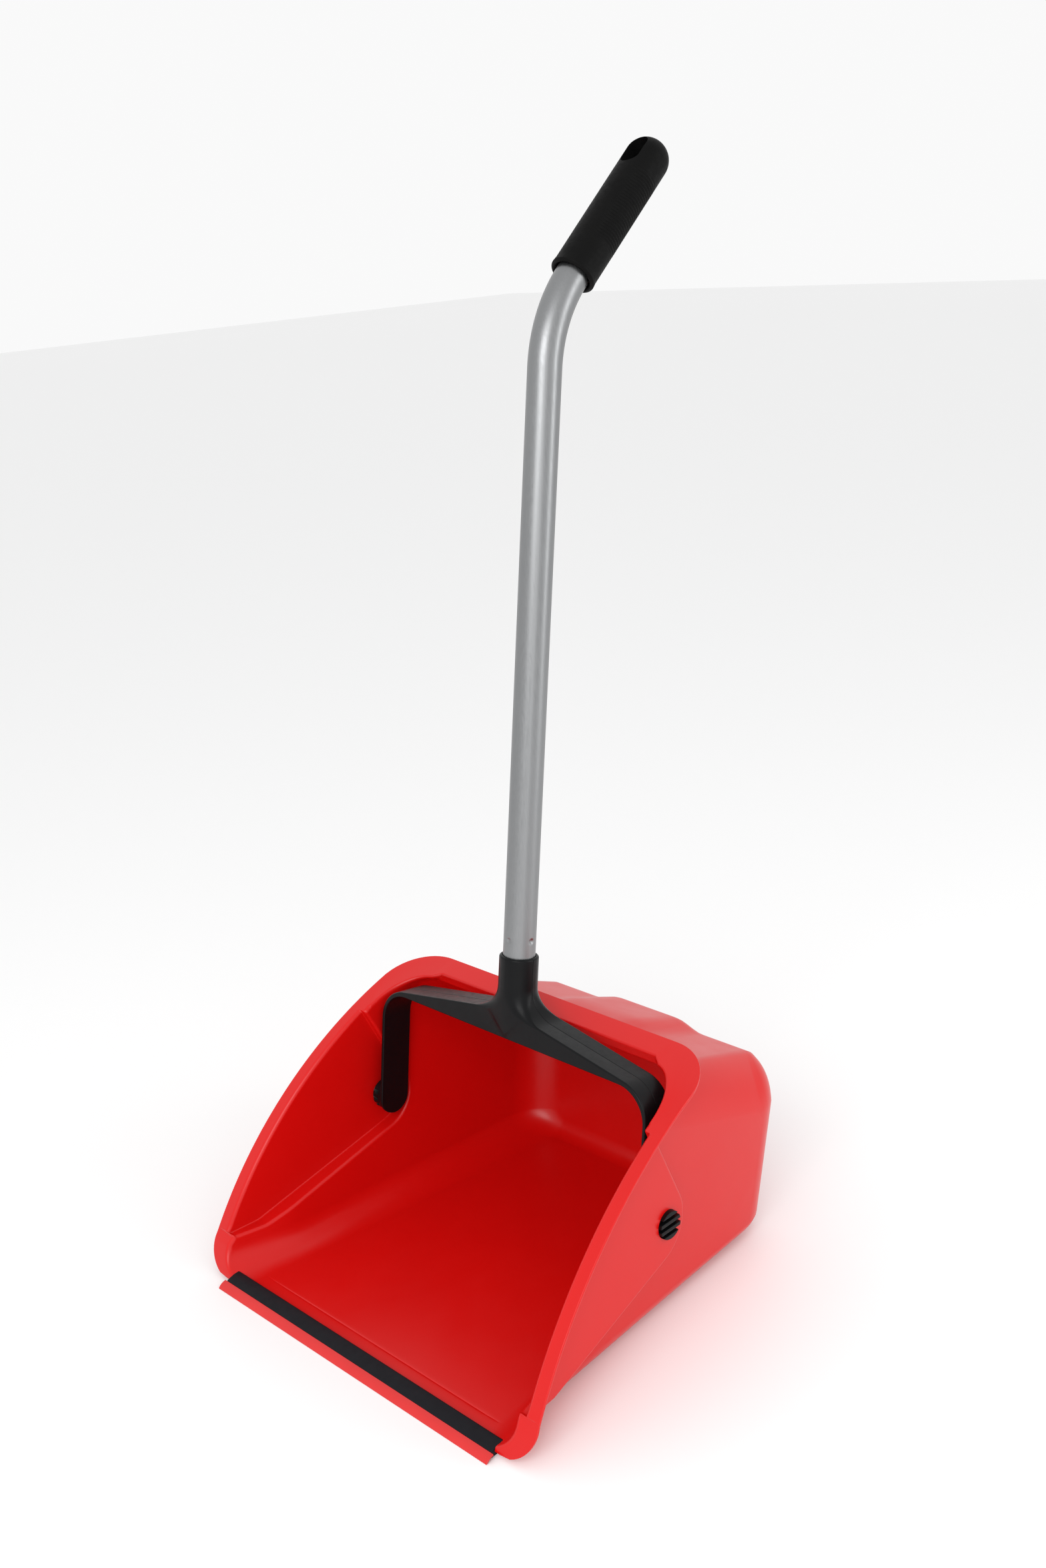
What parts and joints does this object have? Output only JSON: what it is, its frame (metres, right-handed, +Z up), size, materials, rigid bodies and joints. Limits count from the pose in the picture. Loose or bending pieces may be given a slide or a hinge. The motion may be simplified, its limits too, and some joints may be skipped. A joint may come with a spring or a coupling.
{
  "type": "long-handled dustpan",
  "caption": "Lobby dustpan: a hooded moulded pan with a flexible front lip, a folding yoke and a bent tube handle with a hand grip and hang hole.",
  "frame": {"origin": "on the floor, on the centre plane, directly below the axis on which the handle folds", "axes": "+Z up, -Y towards the mouth and lip, +X to the right seen from the front"},
  "size_m": [0.3624, 0.4149, 0.8351],
  "materials": {
    "pan_red": "glossy injection-moulded red polypropylene",
    "lip_black": "matt black rubber profile",
    "lip_red": "thin red flexible blade",
    "yoke_black": "satin black moulded plastic",
    "insert_black": "plain black moulded plastic",
    "tube_metal": "satin anodised aluminium tube",
    "grip_black": "soft black grip with fine ribs"
  },
  "bodies": {
    "pan": {"pan_shell": "pan_red", "lip_clip": "lip_black", "lip_blade": "lip_red"},
    "handle": {"yoke": "yoke_black", "tube_insert": "insert_black", "handle_tube": "tube_metal", "hand_grip": "grip_black"}
  },
  "joints": [
    {"name": "handle_fold", "type": "hinge", "parent": "pan", "child": "handle", "pos_m": [0, 0, 0.092], "axis": [1, 0, 0], "range_deg": [-5, 105]}
  ]
}
